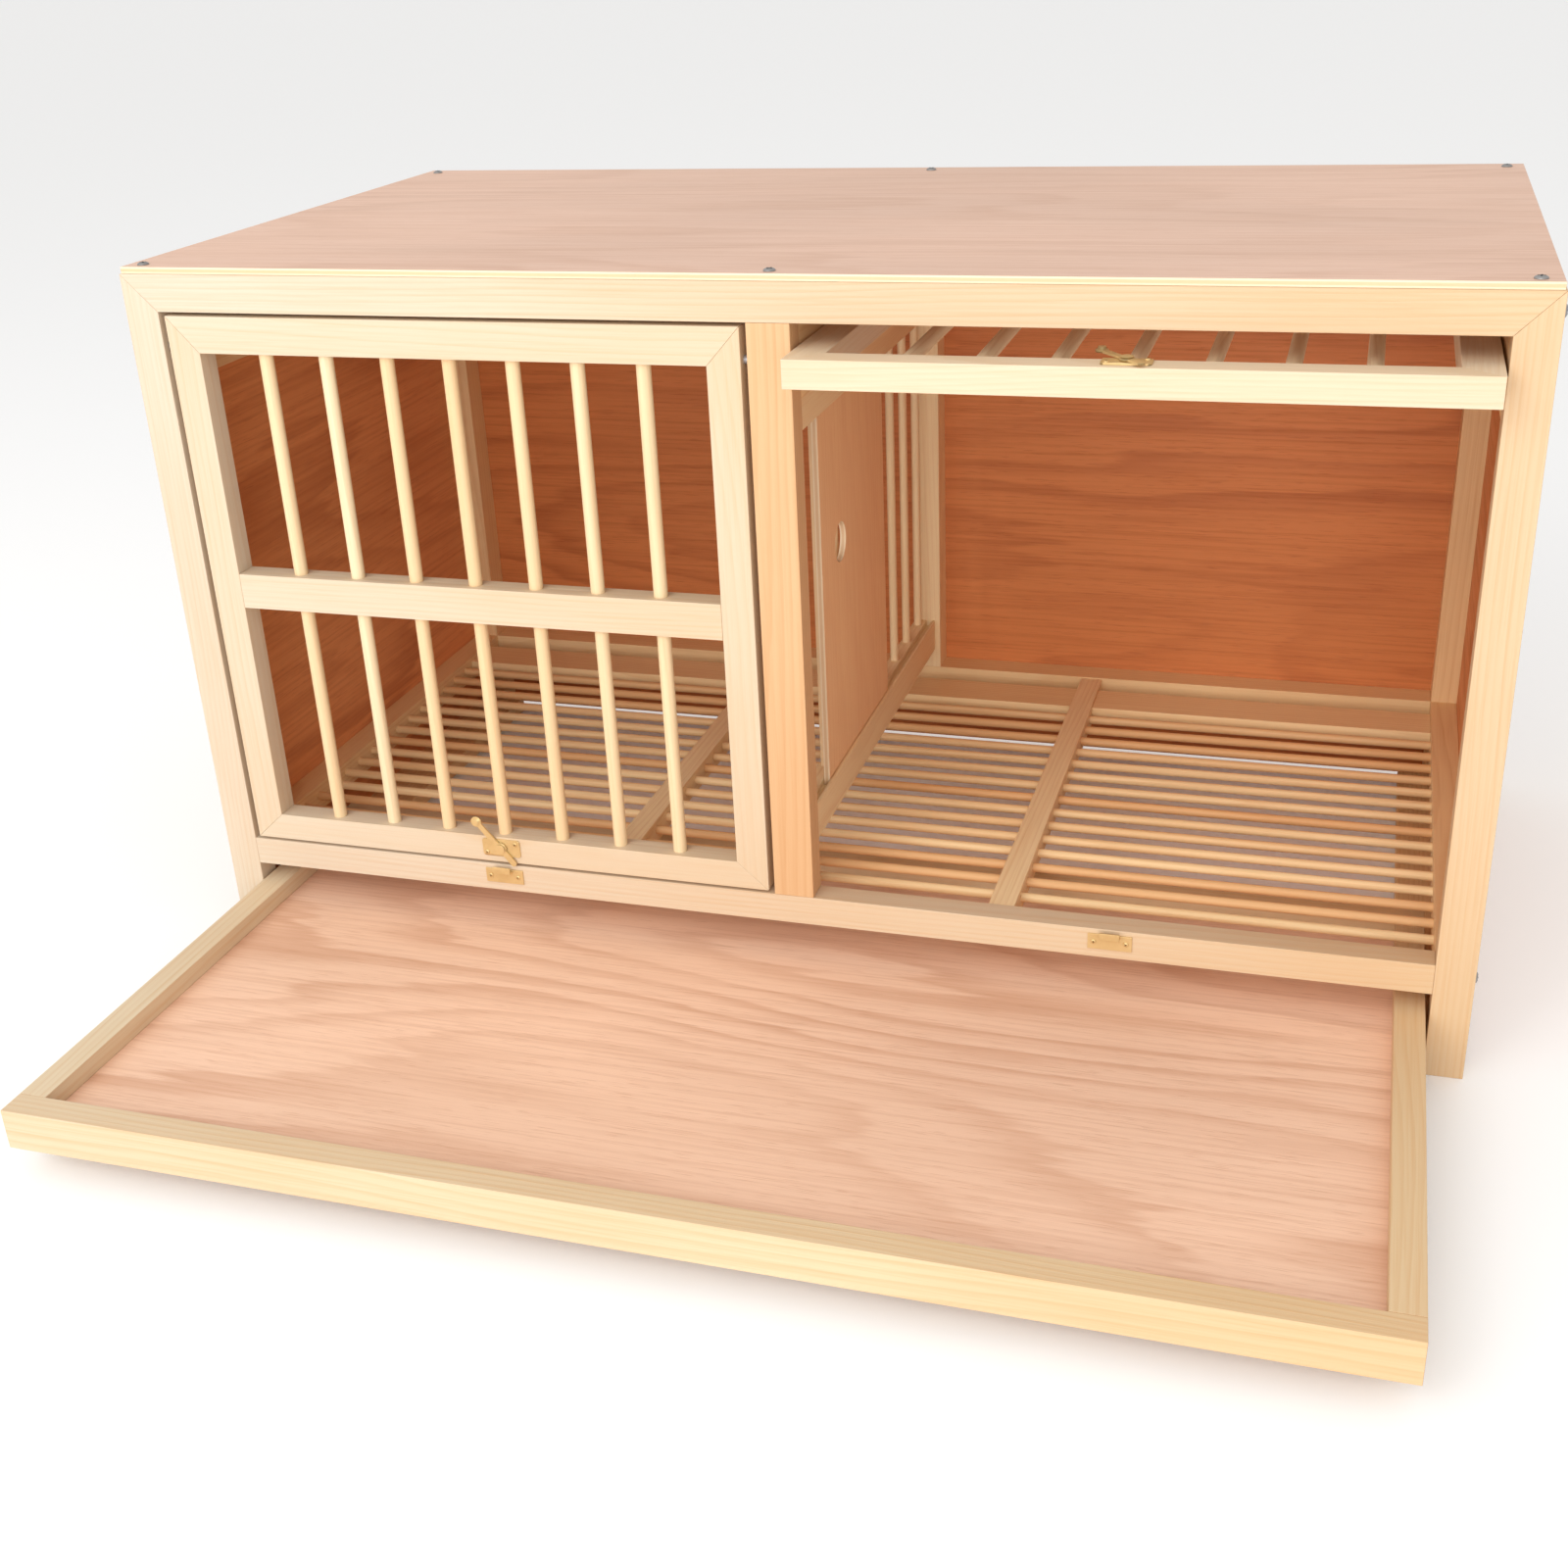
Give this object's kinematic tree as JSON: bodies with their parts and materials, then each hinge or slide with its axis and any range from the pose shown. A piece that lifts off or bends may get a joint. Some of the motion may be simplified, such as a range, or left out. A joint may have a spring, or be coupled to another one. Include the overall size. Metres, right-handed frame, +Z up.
{
  "type": "pigeon breeding cage",
  "caption": "Low wooden cage in two rooms with barred swing-up doors that slide back under the roof, a dowel floor grate and a pull-out tray.",
  "frame": {"origin": "on the floor, at the middle of the whole cage's box at rest, with the tray pulled out", "axes": "+X to the right along the front, +Y from the front to the back, +Z up"},
  "size_m": [0.8032, 0.69, 0.4516],
  "materials": {
    "frame_pine": "planed pine, light straw, unfinished",
    "middle_post_pine": "planed pine, orange heartwood with upright grain",
    "door_pine": "planed pine, very pale cream",
    "grate_pine": "planed pine and round dowel, cream",
    "tray_pine": "planed pine, cream",
    "tray_plywood": "thin hardwood plywood, pinkish tan",
    "room_plywood": "thin hardwood plywood, red-brown",
    "roof_plywood": "thin hardwood plywood, pale pinkish tan",
    "brass": "thin pressed brass, dull",
    "screw_steel": "zinc-plated steel, grey",
    "pin_steel": "plain round steel"
  },
  "bodies": {
    "case": {"front_left_post": "frame_pine", "front_right_post": "frame_pine", "rear_left_post": "frame_pine", "rear_right_post": "frame_pine", "front_middle_post": "middle_post_pine", "top_front_rail": "frame_pine", "top_rear_rail": "frame_pine", "top_left_rail": "frame_pine", "top_right_rail": "frame_pine", "bottom_front_rail": "frame_pine", "bottom_rear_rail": "frame_pine", "bottom_left_rail": "frame_pine", "bottom_right_rail": "frame_pine", "left_lower_guide": "frame_pine", "right_lower_guide": "frame_pine", "divider_lower_guide": "frame_pine", "divider_upper_guide": "frame_pine", "divider_bottom_rail": "frame_pine", "divider_top_rail": "frame_pine", "divider_rear_stile": "frame_pine", "divider_dowels": "frame_pine", "back_panel": "room_plywood", "left_side_panel": "room_plywood", "right_side_panel": "room_plywood", "roof_panel": "roof_plywood", "case_screws": "screw_steel", "grate_battens": "grate_pine", "grate_rear_boards": "grate_pine", "grate_dowels": "grate_pine", "tray_runners": "frame_pine", "left_keeper": "brass", "right_keeper": "brass", "keeper_screws": "brass"},
    "tray": {"tray_front_rail": "tray_pine", "tray_rear_rail": "tray_pine", "tray_left_rail": "tray_pine", "tray_right_rail": "tray_pine", "tray_floor": "tray_plywood"},
    "divider_panel": {"divider_sliding_panel": "room_plywood"},
    "left_door_carrier": {"left_door_pins": "pin_steel"},
    "left_door": {"left_door_left_stile": "door_pine", "left_door_right_stile": "door_pine", "left_door_top_rail": "door_pine", "left_door_middle_rail": "door_pine", "left_door_bottom_rail": "door_pine", "left_door_bars": "door_pine", "left_catch_plate": "brass", "left_catch_screws": "brass"},
    "left_catch": {"left_swivel_catch": "brass"},
    "right_door_carrier": {"right_door_pins": "pin_steel"},
    "right_door": {"right_door_left_stile": "door_pine", "right_door_right_stile": "door_pine", "right_door_top_rail": "door_pine", "right_door_middle_rail": "door_pine", "right_door_bottom_rail": "door_pine", "right_door_bars": "door_pine", "right_catch_plate": "brass", "right_catch_screws": "brass"},
    "right_catch": {"right_swivel_catch": "brass"}
  },
  "joints": [
    {"name": "tray_slide", "type": "slide", "parent": "case", "child": "tray", "axis": [0, -1, 0], "range_m": [-0.278, 0.042]},
    {"name": "divider_panel_slide", "type": "slide", "parent": "case", "child": "divider_panel", "axis": [0, 1, 0], "range_m": [-0.069, 0.142]},
    {"name": "left_door_slide", "type": "slide", "parent": "case", "child": "left_door_carrier", "axis": [0, 1, 0], "range_m": [0, 0.375]},
    {"name": "left_door_hinge", "type": "hinge", "parent": "left_door_carrier", "child": "left_door", "pos_m": [-0.19425, -0.059, 0.4025], "axis": [-1, 0, 0], "range_deg": [0, 90]},
    {"name": "left_catch_turn", "type": "hinge", "parent": "left_door", "child": "left_catch", "pos_m": [-0.19425, -0.069, 0.0855], "axis": [0, 1, 0], "range_deg": [-30, 40]},
    {"name": "right_door_slide", "type": "slide", "parent": "case", "child": "right_door_carrier", "axis": [0, 1, 0], "range_m": [-0.2947, 0.08]},
    {"name": "right_door_hinge", "type": "hinge", "parent": "right_door_carrier", "child": "right_door", "pos_m": [0.19625, 0.2357, 0.4025], "axis": [1, 0, 0], "range_deg": [0, 90]},
    {"name": "right_catch_turn", "type": "hinge", "parent": "right_door", "child": "right_catch", "pos_m": [0.19625, -0.0813, 0.4125], "axis": [0, 0, -1], "range_deg": [-30, 40]}
  ]
}
